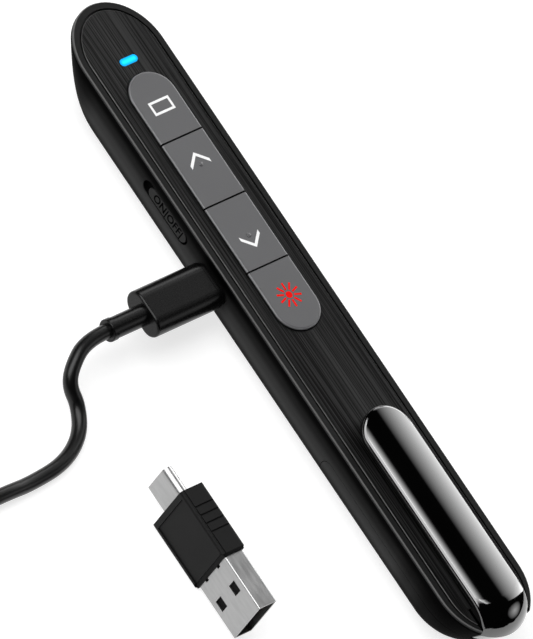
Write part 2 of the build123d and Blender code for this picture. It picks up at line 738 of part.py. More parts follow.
# ---------------------------------------------------------------- cord
floor_z = cord_radius
coil_z = coil_lift + cord_radius
coil_top_z = coil_z + 2 * cord_radius
turn_out = coil_radius + cord_radius
far_x = coil_x - turn_out
tail_start = coil_y + coil_stub
far_relief = tail_start + tail_run
plug_axis_z = a_boot_thick / 2
arc_share = 0.45            # how much of its shorter run each arc may take
lead_route = [
    (relief_end, port_y, port_z),
    (-42.2, port_y, port_z),
    (-47.4, 11.6, 6.8),
    (-48.8, 9.0, 4.9),
    (-47.7, 5.7, 2.4),
    (-50.6, 0.4, floor_z),
    (-57.4, -3.3, floor_z),
    (-66.8, -4.1, floor_z),
    (-72.0, coil_y - turn_out, coil_z),
    (coil_x + coil_stub, coil_y - turn_out, coil_z),
]
tail_route = [
    (far_x, tail_start, coil_top_z),
    (far_x, tail_start + tail_run / 3, coil_top_z),
    (far_x, tail_start + 2 * tail_run / 3, plug_axis_z),
    (far_x, far_relief, plug_axis_z),
]


def cord_tube(points):
    # straight runs joined by tangent arcs, each arc as large as its two runs allow
    knots = [Vector(*p) for p in points]
    radii = []
    for a, b, c in zip(knots, knots[1:], knots[2:]):
        half_turn = math.radians((b - a).get_angle(c - b)) / 2
        radii.append(arc_share * min((b - a).length, (c - b).length) / math.tan(half_turn))
    path = FilletPolyline(*points, radius=radii)
    section = Plane(origin=knots[0], z_dir=knots[1] - knots[0]) * Circle(cord_radius)
    tube = sweep(section, path=path)
    expected = math.pi * cord_radius ** 2 * path.length
    print("cord radii", [round(r, 1) for r in radii], "length", round(path.length, 1))
    print("volume over section times length", round(tube.volume / expected, 4))
    return tube


save("lead_cord", cord_tube(lead_route))
save("lead_cord_tail", cord_tube(tail_route))
# the coil, two turns wide and two turns high, with the stubs where the cord joins and leaves it
coil_middle = Pos(coil_x, coil_y, coil_lift + 2 * cord_radius)
coil = coil_middle * Cylinder(coil_radius + 2 * cord_radius, 4 * cord_radius)
coil -= coil_middle * Cylinder(coil_radius - 2 * cord_radius, 4 * cord_radius)
coil += rod_x(coil_x, coil_x + coil_stub, coil_y - turn_out, coil_z, cord_radius)
coil += rod_y(far_x, coil_y, tail_start, coil_top_z, cord_radius)
save("lead_cord_coil", coil)
tie_round = 0.8
tie_height = 4 * cord_radius + 2 * coil_lift
tie_low = coil_y + coil_radius - tie_height / 2
tie = block(coil_x - tie_width / 2, coil_x + tie_width / 2, tie_low, tie_low + tie_height, 0, tie_height)
save("cord_tie", fillet(tie.edges().filter_by(Axis.X), tie_round) - coil)

# ---------------------------------------------------------------- far end of the lead
boot_corner = 2.4
boot_back_round = 0.6
boot_front_round = 0.3
far_boot = far_relief + a_relief_length
far_shell = far_boot + a_boot_length
far_relief_part = rod_y(far_x, far_relief, far_boot, plug_axis_z, relief_radius)
save("lead_a_relief", fillet(far_relief_part.edges().group_by(Axis.Y)[0], relief_round))
boot_plane = Plane(origin=(far_x, far_boot, plug_axis_z), x_dir=(1, 0, 0), z_dir=(0, 1, 0))
boot_outline = boot_plane * RectangleRounded(a_boot_width, a_boot_thick, boot_corner)
boot = extrude(boot_outline, a_boot_length, dir=(0, 1, 0))
boot = fillet(boot.edges().group_by(Axis.Y)[0], boot_back_round)
boot = fillet(boot.edges().group_by(Axis.Y)[-1], boot_front_round)
far = Pos(far_x, far_shell - a_back_wall, plug_axis_z)
far_root = far * block(-a_width / 2, a_width / 2, -a_root_depth, a_back_wall, -a_thick / 2, a_thick / 2)
save("lead_a_plug", boot - far_root)
save("lead_a_shell", far * metal + far_root)
save("lead_a_tongue", far * tongue_part)
save("lead_a_contacts", Compound(children=[far * p for p in pads]))
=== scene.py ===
import bpy
import bmesh
import math
from mathutils import Matrix, Vector


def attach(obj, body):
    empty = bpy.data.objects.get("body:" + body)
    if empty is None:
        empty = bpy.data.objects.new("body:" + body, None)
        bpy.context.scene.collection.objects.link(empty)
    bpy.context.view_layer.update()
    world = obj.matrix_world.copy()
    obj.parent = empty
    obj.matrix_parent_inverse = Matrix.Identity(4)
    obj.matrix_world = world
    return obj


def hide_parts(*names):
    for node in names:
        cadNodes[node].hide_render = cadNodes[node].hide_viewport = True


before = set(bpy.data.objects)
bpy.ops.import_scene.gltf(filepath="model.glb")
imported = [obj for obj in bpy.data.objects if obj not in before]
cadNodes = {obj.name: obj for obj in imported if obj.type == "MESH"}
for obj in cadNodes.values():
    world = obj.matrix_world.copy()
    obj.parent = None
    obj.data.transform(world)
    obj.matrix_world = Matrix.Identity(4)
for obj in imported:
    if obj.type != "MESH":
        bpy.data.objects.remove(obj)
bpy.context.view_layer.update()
mm = 0.001
scene = bpy.context.scene
print("frame loaded,", len(cadNodes), "nodes")

# numbers that the finishes share
grainDials = {
    "fine": 9000,                         # grains in a metre of moulded plastic
    "slow": 90,                           # patches in a metre over which its tone drifts
    "low": 0.3,                           # most of the noise lies between these two
    "high": 0.7,
    "depth": 0.00004,                     # m, the height of a dent at full strength
}
leanDials = {
    # how far a face looks upwards: 1 is level, 0 is upright
    "slanted": 0.7,
    "spread": 0.2,                        # slanted faces lie this far to either side
    "upright": 0.4,                       # upright faces lie below this
}


# small tools used by several pieces
def pieceFrom(name, bm, body, material):
    # closes a bmesh, given in mm, into a finished piece that rides on a body
    bmesh.ops.scale(bm, vec=(mm, mm, mm), verts=bm.verts)
    mesh = bpy.data.meshes.new(name)
    bm.to_mesh(mesh)
    bm.free()
    piece = bpy.data.objects.new(name, mesh)
    scene.collection.objects.link(piece)
    mesh.materials.append(material)
    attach(piece, body)


def raiseFaces(bm, height):
    # gives a flat drawing in the XY plane its thickness
    made = bmesh.ops.extrude_face_region(bm, geom=bm.faces[:])
    raised = [v for v in made["geom"] if isinstance(v, bmesh.types.BMVert)]
    bmesh.ops.translate(bm, vec=(0, 0, height), verts=raised)
    bmesh.ops.recalc_face_normals(bm, faces=bm.faces)


def squareTo(first, second):
    # three directions at right angles: the first as given, the second as near as can be, and the one
    # that stands on both
    first = Vector(first).normalized()
    second = Vector(second)
    second = (second - second.dot(first) * first).normalized()
    return first, second, first.cross(second)


def grey(value, blue=0.0):
    return (value, value, value * (1 + blue))


def addNode(tree, kind, **inputs):
    made = tree.nodes.new(kind)
    for name, value in inputs.items():
        made.inputs[name.replace("_", " ")].default_value = value
    return made


def feed(tree, socket, value):
    # links another node's output into a socket, or sets the socket to a number, a direction or a tint
    if isinstance(value, bpy.types.NodeSocket):
        tree.links.new(value, socket)
    elif socket.type == "RGBA":
        socket.default_value = (*value, 1)
    else:
        socket.default_value = value


def mathOf(tree, operation, *values):
    # one step of arithmetic; each value is a number or another node's output
    step = addNode(tree, "ShaderNodeMath")
    step.operation = operation
    for socket, value in zip(step.inputs, values):
        feed(tree, socket, value)
    return step.outputs["Value"]


def vectorOf(tree, operation, *values):
    # the same for places and directions
    step = addNode(tree, "ShaderNodeVectorMath")
    step.operation = operation
    for socket, value in zip(step.inputs, values):
        feed(tree, socket, value)
    return step.outputs["Value" if operation in ("LENGTH", "DISTANCE") else "Vector"]


def splitOf(tree, source):
    split = addNode(tree, "ShaderNodeSeparateXYZ")
    feed(tree, split.inputs["Vector"], source)
    return split.outputs


def placeOf(tree):
    # where a point lies on its own piece, in metres
    return addNode(tree, "ShaderNodeTexCoord").outputs["Object"]


def grainOf(tree, scale, detail, stretch=(1.0, 1.0, 1.0)):
    # noise on the object's own coordinates; scale counts grains in a metre
    mapping = addNode(tree, "ShaderNodeMapping", Scale=stretch)
    noise = addNode(tree, "ShaderNodeTexNoise", Scale=scale, Detail=detail)
    feed(tree, mapping.inputs["Vector"], placeOf(tree))
    feed(tree, noise.inputs["Vector"], mapping.outputs["Vector"])
    return noise.outputs["Fac"]


def rangeOf(tree, source, fromLow, fromHigh, low, high):
    step = addNode(tree, "ShaderNodeMapRange", From_Min=fromLow, From_Max=fromHigh, To_Min=low, To_Max=high)
    feed(tree, step.inputs["Value"], source)
    return step.outputs["Result"]


def tintOf(tree, source, dark, light, low=grainDials["low"], high=grainDials["high"]):
    # colour that wanders between two tints
    ramp = addNode(tree, "ShaderNodeValToRGB")
    for element, place, tint in zip(ramp.color_ramp.elements, (low, high), (dark, light)):
        element.position = place
        element.color = (*tint, 1)
    feed(tree, ramp.inputs["Fac"], source)
    return ramp.outputs["Color"]


def bandsOf(tree, source, stops):
    # tone that eases from stop to stop; each stop is a place in mm and a tone
    low, high = stops[0][0], stops[-1][0]
    ramp = addNode(tree, "ShaderNodeValToRGB")
    ramp.color_ramp.interpolation = "EASE"
    while len(ramp.color_ramp.elements) < len(stops):
        ramp.color_ramp.elements.new(0.5)
    for element, (place, tone) in zip(ramp.color_ramp.elements, stops):
        element.position = (place - low) / (high - low)
        element.color = (*grey(tone), 1)
    feed(tree, ramp.inputs["Fac"], rangeOf(tree, source, low * mm, high * mm, 0.0, 1.0))
    return ramp.outputs["Color"]


def mixOf(tree, share, first, second):
    # first where the share is 0, second where it is 1
    mix = addNode(tree, "ShaderNodeMix")
    mix.data_type = "RGBA"
    feed(tree, mix.inputs["Factor"], share)
    feed(tree, mix.inputs["A"], first)
    feed(tree, mix.inputs["B"], second)
    return mix.outputs["Result"]


def facedTone(tree, top, edge, side=None):
    # top on the level faces, a painted highlight on the slanted ones, painted shade on the upright ones
    upward = splitOf(tree, addNode(tree, "ShaderNodeNewGeometry").outputs["True Normal"])["Z"]
    slanted = mathOf(tree, "COMPARE", upward, leanDials["slanted"], leanDials["spread"])
    tone = mixOf(tree, slanted, top, edge)
    if side is None:
        return tone
    return mixOf(tree, mathOf(tree, "GREATER_THAN", upward, leanDials["upright"]), side, tone)


def roughen(tree, shader, grain, rough, low=grainDials["low"], high=grainDials["high"]):
    # roughness that follows a grain
    feed(tree, shader.inputs["Roughness"], rangeOf(tree, grain, low, high, *rough))


def dent(tree, shader, grain, strength, depth=grainDials["depth"]):
    # small dents that follow a grain
    bump = addNode(tree, "ShaderNodeBump", Strength=strength, Distance=depth)
    feed(tree, bump.inputs["Height"], grain)
    feed(tree, shader.inputs["Normal"], bump.outputs["Normal"])


def newFinish(name, **sockets):
    material = bpy.data.materials.new(name)
    material.use_nodes = True
    shader = material.node_tree.nodes["Principled BSDF"]
    for socket, value in sockets.items():
        shader.inputs[socket.replace("_", " ")].default_value = value
    return material, material.node_tree, shader


def mouldedFinish(name, tints, rough, grain=grainDials["fine"], bump=0.06, gloss=0.5):
    # moulded plastic: fine spark-eroded grain, a slow drift of tone, roughness that follows the grain
    material, tree, shader = newFinish(name, Specular_IOR_Level=gloss)
    fine = grainOf(tree, grain, detail=2.0)
    slow = grainOf(tree, grainDials["slow"], detail=4.0)
    feed(tree, shader.inputs["Base Color"], tintOf(tree, slow, *tints))
    roughen(tree, shader, fine, rough)
    dent(tree, shader, fine, bump)
    return material


def metalFinish(name, tints, rough, grain=1500, stretch=(1.0, 1.0, 1.0)):
    # plain metal; where it is drawn or rolled, its grain is stretched along one direction
    material, tree, shader = newFinish(name, Metallic=1.0)
    streaks = grainOf(tree, grain, detail=4.0, stretch=stretch)
    feed(tree, shader.inputs["Base Color"], tintOf(tree, streaks, *tints))
    roughen(tree, shader, streaks, rough)
    dent(tree, shader, streaks, strength=0.04, depth=0.00002)
    return material


def dress(material, *nodeNames):
    for name in nodeNames:
        for slot in cadNodes[name].material_slots:
            slot.material = material


# camera: from the left, the tail and above, as the clicker is seen lying on a desk
viewDials = {
    "middle": (-7.28, 2.77, 12.6),        # mm, the point in the middle of the picture
    "right": (0.7388, -0.5449, 0.3966),   # picture's right and up, as directions in the frame
    "up": (0.3382, 0.8088, 0.4811),
    "tall": 121.0,                        # mm that the long side of the picture covers
    "lens": 1200.0,                       # a very long lens, because the view has next to no perspective
    "sensor": 36.0,                       # mm, as the lens
    "near": 0.05,                         # what the camera sees, in shares of its distance
    "far": 5.0,
}


def makeCamera(d):
    data = bpy.data.cameras.new("camera")
    data.lens = d["lens"]
    data.sensor_width = d["sensor"]
    away = d["tall"] * mm * d["lens"] / d["sensor"]
    data.clip_start = away * d["near"]
    data.clip_end = away * d["far"]
    right, up, back = squareTo(d["right"], d["up"])
    camera = bpy.data.objects.new("camera", data)
    scene.collection.objects.link(camera)
    turn = Matrix((right, up, back)).transposed().to_4x4()
    camera.matrix_world = Matrix.Translation(Vector(d["middle"]) * mm + back * away) @ turn
    scene.camera = camera


makeCamera(viewDials)
print("camera placed")

# charging cord: its route in mm, then a coil of the length that is put away
cordDials = {
    "radius": 1.5,
    "route": [                            # from the plug's relief to the floor and along it
        (-36.65, 15.0, 8.1), (-42.2, 15.0, 8.1), (-47.4, 11.6, 6.8), (-48.8, 9.0, 4.9), (-47.7, 5.7, 2.4),
        (-50.6, 0.4, 1.5), (-57.4, -3.3, 1.5), (-66.8, -4.1, 1.5), (-72.0, -4.0, 2.1), (-79.0, -4.0, 2.1),
    ],
    "coilMiddle": (-91.0, 14.0),
    "layers": ((18.0, 2.1), (15.0, 2.1), (15.0, 5.1), (18.0, 5.1)),   # radius and height of each turn
    "coilStart": -90,                     # degrees, the coil's south point
    "shifts": (300, 600, 900),            # degrees along the coil where it begins to change its layer
    "shiftLong": 60,
    "coilTurned": 1170,
    "pointsPerTurn": 18,
    "tail": [(-109.0, 26.0, 5.1), (-109.0, 30.0, 5.1), (-109.0, 34.0, 3.8), (-109.0, 38.0, 3.8)],
    "length": 0.426,                      # m
    "splineOrder": 3,                     # low, so that the bends stay near the route's points
    "smoothness": 8,                      # of its roundness and of its bends
}


def coilPoints(d):
    # clockwise from the coil's start, one layer after another
    step = 360 / d["pointsPerTurn"]
    spread = 1 / math.cos(math.radians(step / 2))     # the spline runs inside its points
    points = []
    turned = step / 2
    while turned < d["coilTurned"]:
        reach, height = d["layers"][0]
        for start, (nextReach, nextHeight) in zip(d["shifts"], d["layers"][1:]):
            share = min(1.0, max(0.0, (turned - start) / d["shiftLong"]))
            reach += (nextReach - reach) * share
            height += (nextHeight - height) * share
        angle = math.radians(d["coilStart"] - turned)
        x, y = d["coilMiddle"]
        points.append((x + reach * spread * math.cos(angle), y + reach * spread * math.sin(angle), height))
        turned += step
    return points


def makeCord(d, material):
    points = d["route"] + coilPoints(d) + d["tail"]
    data = bpy.data.curves.new("charging_cord", "CURVE")
    data.dimensions = "3D"
    data.bevel_depth = d["radius"] * mm
    data.bevel_resolution = d["smoothness"]
    data.resolution_u = d["smoothness"]
    data.use_fill_caps = True
    data.materials.append(material)
    spline = data.splines.new("NURBS")
    spline.points.add(len(points) - 1)
    for point, place in zip(spline.points, points):
        point.co = (*(Vector(place) * mm), 1.0)
    spline.order_u = d["splineOrder"]
    spline.use_endpoint_u = True
    cord = bpy.data.objects.new("charging_cord", data)
    scene.collection.objects.link(cord)
    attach(cord, "charging_lead")
    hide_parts("lead_cord", "lead_cord_tail", "lead_cord_coil")


cordRubber = mouldedFinish("cord_rubber", tints=(grey(0.002), grey(0.004)), rough=(0.28, 0.36), grain=6000,
                           bump=0.05, gloss=0.35)
makeCord(cordDials, cordRubber)
print("cord laid")


# finishes with a pattern of their own
def shellFinish(d):
    # soft-touch black with painted light: painted shade under the rim, a paler band of painted reflection
    # lower down the sides, painted shade towards the tail and the nose and inside openings
    material, tree, shader = newFinish("shell_plastic", Specular_IOR_Level=d["gloss"])
    place = splitOf(tree, placeOf(tree))
    fine = grainOf(tree, grainDials["fine"], detail=2.0)
    slow = grainOf(tree, d["patches"], detail=3.0)
    height = mathOf(tree, "MULTIPLY_ADD", slow, d["drift"] * mm, place["Z"])
    # painted shade where an opening is cut into the wall: the tone there is cut down
    nearMiddle = mathOf(tree, "LESS_THAN", mathOf(tree, "ABSOLUTE", place["X"]), d["skin"] * mm)
    upper = mathOf(tree, "GREATER_THAN", place["Z"], d["skinLow"] * mm)
    straight = mathOf(tree, "COMPARE", place["Y"], 0.0, d["skinLong"] * mm)
    inside = mathOf(tree, "MULTIPLY", mathOf(tree, "MULTIPLY", nearMiddle, upper), straight)
    # painted shade: the share by length darkens the sides towards the tail and the nose
    share = mathOf(tree, "MULTIPLY", bandsOf(tree, place["Y"], d["along"]),
                   rangeOf(tree, inside, 0.0, 1.0, 1.0, d["insideShare"]))
    # painted shade under the rim and near the floor, and a paler band of painted reflection lower down, by
    # height
    tone = vectorOf(tree, "MULTIPLY", bandsOf(tree, height, d["paintedShadeAndReflection"]), share)
    feed(tree, shader.inputs["Base Color"], tone)
    roughen(tree, shader, fine, d["rough"])
    dent(tree, shader, fine, strength=0.08)
    return material


shellPlastic = shellFinish({
    # stops in mm: tone by height, with painted shade under the rim and near the floor and a paler band of
    # painted reflection lower down; share of it by length, with painted shade towards the tail and the nose
    "paintedShadeAndReflection": ((0.0, 0.005), (3.6, 0.009), (5.9, 0.047), (7.3, 0.037), (9.4, 0.015), (11.3, 0.001),
              (12.0, 0.001)),
    "along": ((-72.0, 0.05), (-66.0, 0.08), (-60.0, 0.2), (-54.0, 0.55), (-48.0, 1.0), (54.0, 1.0),
              (61.0, 0.4), (72.0, 0.3)),
    "patches": 120,                       # in a metre, where the bands wander a little
    "drift": 0.4,                         # mm
    # mm: a face is inside an opening where it lies nearer the middle than skin, above skinLow and
    # less than skinLong away from the middle of the length
    "skin": 9.8, "skinLow": 6.5, "skinLong": 55.0,
    # painted shade: an opening keeps only this share of its tone
    "insideShare": 0.1,                   # of its tone that is left there
    "gloss": 0.006,
    "rough": (0.44, 0.58),
})


def keyFinish(d):
    # grey plastic of the keys, with a painted highlight on the rounded edge and painted shade down in the
    # gaps
    material, tree, shader = newFinish("key_plastic", Specular_IOR_Level=0.5)
    fine = grainOf(tree, grainDials["fine"], detail=2.0)
    slow = grainOf(tree, grainDials["slow"], detail=4.0)
    top = tintOf(tree, slow, grey(d["dark"], d["blue"]), grey(d["light"], d["blue"]))
    # painted highlight on the slanted faces, painted shade on the upright ones
    feed(tree, shader.inputs["Base Color"], facedTone(tree, top, grey(d["edge"], d["blue"]), grey(d["side"])))
    roughen(tree, shader, fine, d["rough"])
    dent(tree, shader, fine, strength=0.04)
    return material


# the tone on the slanted faces is a painted highlight, on the upright ones painted shade
keyPlastic = keyFinish({"dark": 0.089, "light": 0.095, "blue": 0.04, "edge": 0.165, "side": 0.012,
                        "rough": (0.36, 0.46)})


def rimFinish(d):
    # the frame's plastic, with a painted highlight on its slanted edges
    material, tree, shader = newFinish("rim_plastic", Specular_IOR_Level=0.12)
    fine = grainOf(tree, grainDials["fine"], detail=2.0)
    top = tintOf(tree, fine, grey(d["dark"]), grey(d["light"]))
    # painted highlight on the slanted faces
    feed(tree, shader.inputs["Base Color"], facedTone(tree, top, grey(d["edge"])))
    roughen(tree, shader, fine, d["rough"])
    dent(tree, shader, fine, strength=0.06)
    return material


# the tone on the slanted faces is a painted highlight
rimPlastic = rimFinish({"dark": 0.006, "light": 0.010, "edge": 0.11, "rough": (0.34, 0.46)})


def streaksOf(tree, s):
    noise = grainOf(tree, 1.0, s["detail"], (s["across"], s["along"], 1.0))
    return rangeOf(tree, noise, *s["noise"], *s["share"])


def plateFinish(d):
    # black brushed metal: long fine streaks, a few bolder ones, a painted highlight on the slanted cut edge
    # and painted shade on its upright side
    material, tree, shader = newFinish("plate_metal", Metallic=0.35, Anisotropic=0.6, Specular_IOR_Level=0.1)
    streaks = mathOf(tree, "MULTIPLY", streaksOf(tree, d["fine"]), streaksOf(tree, d["bold"]))
    top = tintOf(tree, streaks, grey(d["dark"]), grey(d["light"]), *d["span"])
    # painted highlight on the slanted cut edge, painted shade on the upright sides
    feed(tree, shader.inputs["Base Color"], facedTone(tree, top, grey(d["edge"]), grey(d["side"])))
    roughen(tree, shader, streaks, d["rough"], *d["span"])
    dent(tree, shader, streaks, strength=0.12, depth=0.00003)
    return material


plateMetal = plateFinish({
    # streaks in a metre across and along the plate, and the share of the tone that their noise leaves
    "fine": {"across": 4000, "along": 26, "detail": 6.0, "noise": (0.42, 0.58), "share": (0.3, 1.0)},
    "bold": {"across": 1500, "along": 10, "detail": 3.0, "noise": (0.36, 0.44), "share": (0.6, 1.0)},
    "span": (0.3, 1.0),                   # shares that get the dark and the light tone
    # the tone on the slanted faces is a painted highlight, on the upright ones painted shade
    "dark": 0.002, "light": 0.028, "edge": 0.10, "side": 0.002,
    "rough": (0.45, 0.34),
})


def glossFinish(d):
    # polished black plastic under a clear skin, with a breath of dust and hair marks
    material, tree, shader = newFinish("clip_gloss", Specular_IOR_Level=0.3, Coat_Weight=1.0,
                                       Coat_Roughness=0.05, Coat_IOR=1.9)
    marks = grainOf(tree, d["marks"], detail=6.0, stretch=(1.0, d["markLong"], 1.0))
    feed(tree, shader.inputs["Base Color"], tintOf(tree, marks, grey(d["dark"]), grey(d["light"])))
    roughen(tree, shader, marks, d["rough"])
    return material


clipGloss = glossFinish({"marks": 400, "markLong": 0.25, "dark": 0.0001, "light": 0.0003,
                         "rough": (0.04, 0.09)})


def lampFinish(d):
    # the light window glows cyan along its middle and deep blue round its edge
    material, tree, shader = newFinish("light_window", Roughness=0.3, Emission_Strength=1.0,
                                       Specular_IOR_Level=0.1)
    fromMiddle = vectorOf(tree, "SUBTRACT", placeOf(tree), (0, d["middleY"] * mm, 0))
    away = splitOf(tree, vectorOf(tree, "ABSOLUTE", fromMiddle))
    reach = addNode(tree, "ShaderNodeCombineXYZ")
    feed(tree, reach.inputs["X"], rangeOf(tree, away["X"], d["straight"] * mm, d["long"] * mm, 0.0, 1.0))
    feed(tree, reach.inputs["Y"], rangeOf(tree, away["Y"], 0.0, d["wide"] * mm, 0.0, 1.0))
    outward = vectorOf(tree, "LENGTH", reach.outputs["Vector"])
    feed(tree, shader.inputs["Emission Color"], tintOf(tree, outward, d["core"], d["rim"], *d["fade"]))
    drift = grainOf(tree, d["patches"], detail=1.0)
    feed(tree, shader.inputs["Base Color"], tintOf(tree, drift, *d["tints"]))
    return material


lightWindow = lampFinish({
    "middleY": 60.7,                      # mm, as are the half sizes of its core and its edge
    "straight": 1.3, "long": 2.1, "wide": 0.78,
    "core": (0.012, 0.95, 1.0), "rim": (0.0, 0.42, 1.0),
    "fade": (0.25, 0.95),                 # from the core's colour to the rim's, 1 is the window's edge
    "tints": ((0.0, 0.02, 0.05), (0.0, 0.03, 0.08)),
    "patches": 500,
})


def lensFinish(d):
    # red glass with a little dust on it
    material, tree, shader = newFinish("lens_glass", Roughness=0.05, IOR=1.5, Transmission_Weight=0.85)
    dust = grainOf(tree, d["dust"], detail=3.0)
    feed(tree, shader.inputs["Base Color"], tintOf(tree, dust, *d["tints"]))
    return material


lensGlass = lensFinish({"dust": 900, "tints": ((0.8, 0.25, 0.22), (0.9, 0.35, 0.3))})

# plain plastics, rubbers and prints
switchPlastic = mouldedFinish("switch_plastic", tints=(grey(0.005), grey(0.008)), rough=(0.36, 0.5),
                              grain=8000, gloss=0.15)
plugPlastic = mouldedFinish("plug_plastic", tints=(grey(0.002), grey(0.003)), rough=(0.22, 0.32),
                            grain=8000, bump=0.05, gloss=0.25)
receiverPlastic = mouldedFinish("receiver_plastic", tints=(grey(0.006), grey(0.009)), rough=(0.42, 0.55),
                                bump=0.08, gloss=0.1)
# near-black, darker than the receiver's case: painted shade in the receiver's holes and mouth
paintedShadeBlack = mouldedFinish("painted_shade_black", tints=(grey(0.001), grey(0.002)), rough=(0.5, 0.65),
                          bump=0.05, gloss=0.1)
tieRubber = mouldedFinish("tie_rubber", tints=(grey(0.006), grey(0.010)), rough=(0.5, 0.7),
                          grain=3000, bump=0.2)
printWhite = mouldedFinish("print_white", tints=(grey(0.86), grey(0.92)), rough=(0.4, 0.55), bump=0.03)
printRed = mouldedFinish("print_red", tints=((0.80, 0.002, 0.001), (0.90, 0.004, 0.002)), rough=(0.4, 0.55),
                         bump=0.03, gloss=0.05)
printBlack = mouldedFinish("print_black", tints=(grey(0.0), grey(0.001)), rough=(0.6, 0.75),
                           bump=0.03, gloss=0.0)
boardGreen = mouldedFinish("board_green", tints=((0.004, 0.05, 0.015), (0.006, 0.08, 0.02)),
                           rough=(0.25, 0.4), grain=700, bump=0.05)
chipPlastic = mouldedFinish("chip_plastic", tints=(grey(0.012), grey(0.02)), rough=(0.5, 0.6),
                            grain=6000, bump=0.1)
connectorPlastic = mouldedFinish("connector_plastic", tints=(grey(0.002), grey(0.004)), rough=(0.5, 0.6),
                                 grain=6000, bump=0.05, gloss=0.05)
foamRubber = mouldedFinish("foam", tints=(grey(0.02), grey(0.05)), rough=(0.8, 0.95), grain=2500, bump=0.5)

# plain metals
bezelMetal = metalFinish("bezel_metal", tints=(grey(0.03), grey(0.05)), rough=(0.35, 0.5))
connectorSteel = metalFinish("connector_steel", tints=(grey(0.35), grey(0.41)), rough=(0.28, 0.38),
                             grain=1200, stretch=(1, 0.2, 1))
fastenerSteel = metalFinish("fastener_steel", tints=(grey(0.35), grey(0.5)), rough=(0.25, 0.4))
switchMetal = metalFinish("switch_metal", tints=(grey(0.5), grey(0.6)), rough=(0.3, 0.4))
contactGold = metalFinish("contact_gold", tints=((0.75, 0.50, 0.18), (0.85, 0.60, 0.24)), rough=(0.2, 0.3))
laserBrass = metalFinish("laser_brass", tints=((0.55, 0.38, 0.14), (0.68, 0.48, 0.2)), rough=(0.3, 0.4),
                         stretch=(1, 0.1, 1))
cellFoil = metalFinish("cell_foil", tints=(grey(0.55), grey(0.7)), rough=(0.35, 0.5), grain=300)

dress(shellPlastic, "lower_shell", "bay_cover")
dress(rimPlastic, "upper_frame")
dress(plateMetal, "top_plate")
dress(keyPlastic, "laser_key", "down_key", "up_key", "screen_key")
dress(clipGloss, "clip")
dress(switchPlastic, "power_switch_knob", "power_switch_body")
dress(lightWindow, "light_pipe", "status_light")
dress(boardGreen, "main_board", "receiver_board")
dress(chipPlastic, "controller_chip", "charger_chip", "receiver_chip", "laser_driver")
dress(switchMetal, "key_switch_1", "key_switch_2", "key_switch_3", "key_switch_4")
dress(fastenerSteel, "board_screws", "case_screws", "clip_pin", "clip_spring")
dress(foamRubber, "battery_pad", "bay_pad")
dress(cellFoil, "battery_cell")
dress(connectorSteel, "socket_shell", "receiver_a_shell", "receiver_c_shell", "lead_c_shell", "lead_a_shell")
dress(connectorPlastic, "socket_tongue", "receiver_a_tongue", "lead_a_tongue")
dress(contactGold, "receiver_a_contacts", "lead_a_contacts")
dress(laserBrass, "laser_barrel")
dress(bezelMetal, "laser_bezel")
dress(lensGlass, "laser_lens")
dress(receiverPlastic, "receiver_case")
# painted shade: the inner frame is blacker than the case so that the holes read dark
dress(paintedShadeBlack, "receiver_inner_frame")
dress(plugPlastic, "lead_c_plug", "lead_c_collar", "lead_c_relief", "lead_a_relief", "lead_a_plug")
dress(tieRubber, "cord_tie")
print("CAD pieces dressed")

# prints and dots on the keys, in mm; middle, up_key and down_key say how far towards the nose each one lies
printDials = {
    "keyTop": 13.2,
    "sunk": 0.015,                        # the ink stands as far above the key as it goes into it
    "screen": {"middle": 49.6, "wide": 5.1, "tall": 2.95, "line": 0.5},
    "arrow": {"up_key": 37.05, "down_key": 17.95, "tip": 1.15, "wide": 2.4, "line": 0.6},
    "sun": {"middle": 5.2, "core": 0.72, "corners": 32, "rays": 10, "from": 1.1, "to": 2.7, "line": 0.4},
    "dot": {"up_key": 35.9, "down_key": 19.2, "radius": 0.5, "flatness": 0.36, "around": 24, "rings": 12},
}


def finishPrint(name, bm, middleY, body, material, d):
    raiseFaces(bm, 2 * d["sunk"])
    bmesh.ops.translate(bm, vec=(0, middleY, d["keyTop"] - d["sunk"]), verts=bm.verts)
    pieceFrom(name, bm, body, material)


def bar(bm, long, wide):
    # a flat bar round the middle
    verts = bmesh.ops.create_grid(bm, x_segments=1, y_segments=1, size=0.5)["verts"]
    bmesh.ops.scale(bm, vec=(long, wide, 1), verts=verts)
    return verts


def screenPrint(d):
    s = d["screen"]
    bm = bmesh.new()
    bar(bm, s["wide"], s["tall"])
    bmesh.ops.inset_region(bm, faces=bm.faces[:], thickness=s["line"], use_boundary=True,
                           use_even_offset=True)
    inner = min(bm.faces, key=lambda f: f.calc_center_median().length)
    bmesh.ops.delete(bm, geom=[inner], context="FACES")
    finishPrint("screen_print", bm, s["middle"], "screen_key", printWhite, d)


def arrowPrint(name, body, sign, d):
    # a bent line whose tip points to the nose, or to the tail where the sign is -1
    a = d["arrow"]
    tip, wide = a["tip"], a["wide"]
    drop = a["line"] / math.cos(math.atan2(2 * tip, wide)) / 2
    corners = [(0, tip + drop), (-wide, -tip + drop), (-wide, -tip - drop), (0, tip - drop),
               (wide, -tip - drop), (wide, -tip + drop)]
    bm = bmesh.new()
    bm.faces.new([bm.verts.new((x, y, 0)) for x, y in corners])
    bmesh.ops.scale(bm, vec=(1, sign, 1), verts=bm.verts)
    finishPrint(name, bm, a[body], body, printWhite, d)


def sunPrint(d):
    s = d["sun"]
    bm = bmesh.new()
    bmesh.ops.create_circle(bm, cap_ends=True, segments=s["corners"], radius=s["core"])
    for i in range(s["rays"]):
        ray = bar(bm, s["to"] - s["from"], s["line"])
        bmesh.ops.translate(bm, vec=((s["to"] + s["from"]) / 2, 0, 0), verts=ray)
        turn = Matrix.Rotation(math.radians(360 / s["rays"] * (i + 0.5)), 3, "Z")
        bmesh.ops.rotate(bm, cent=(0, 0, 0), matrix=turn, verts=ray)
    finishPrint("sun_print", bm, s["middle"], "laser_key", printRed, d)


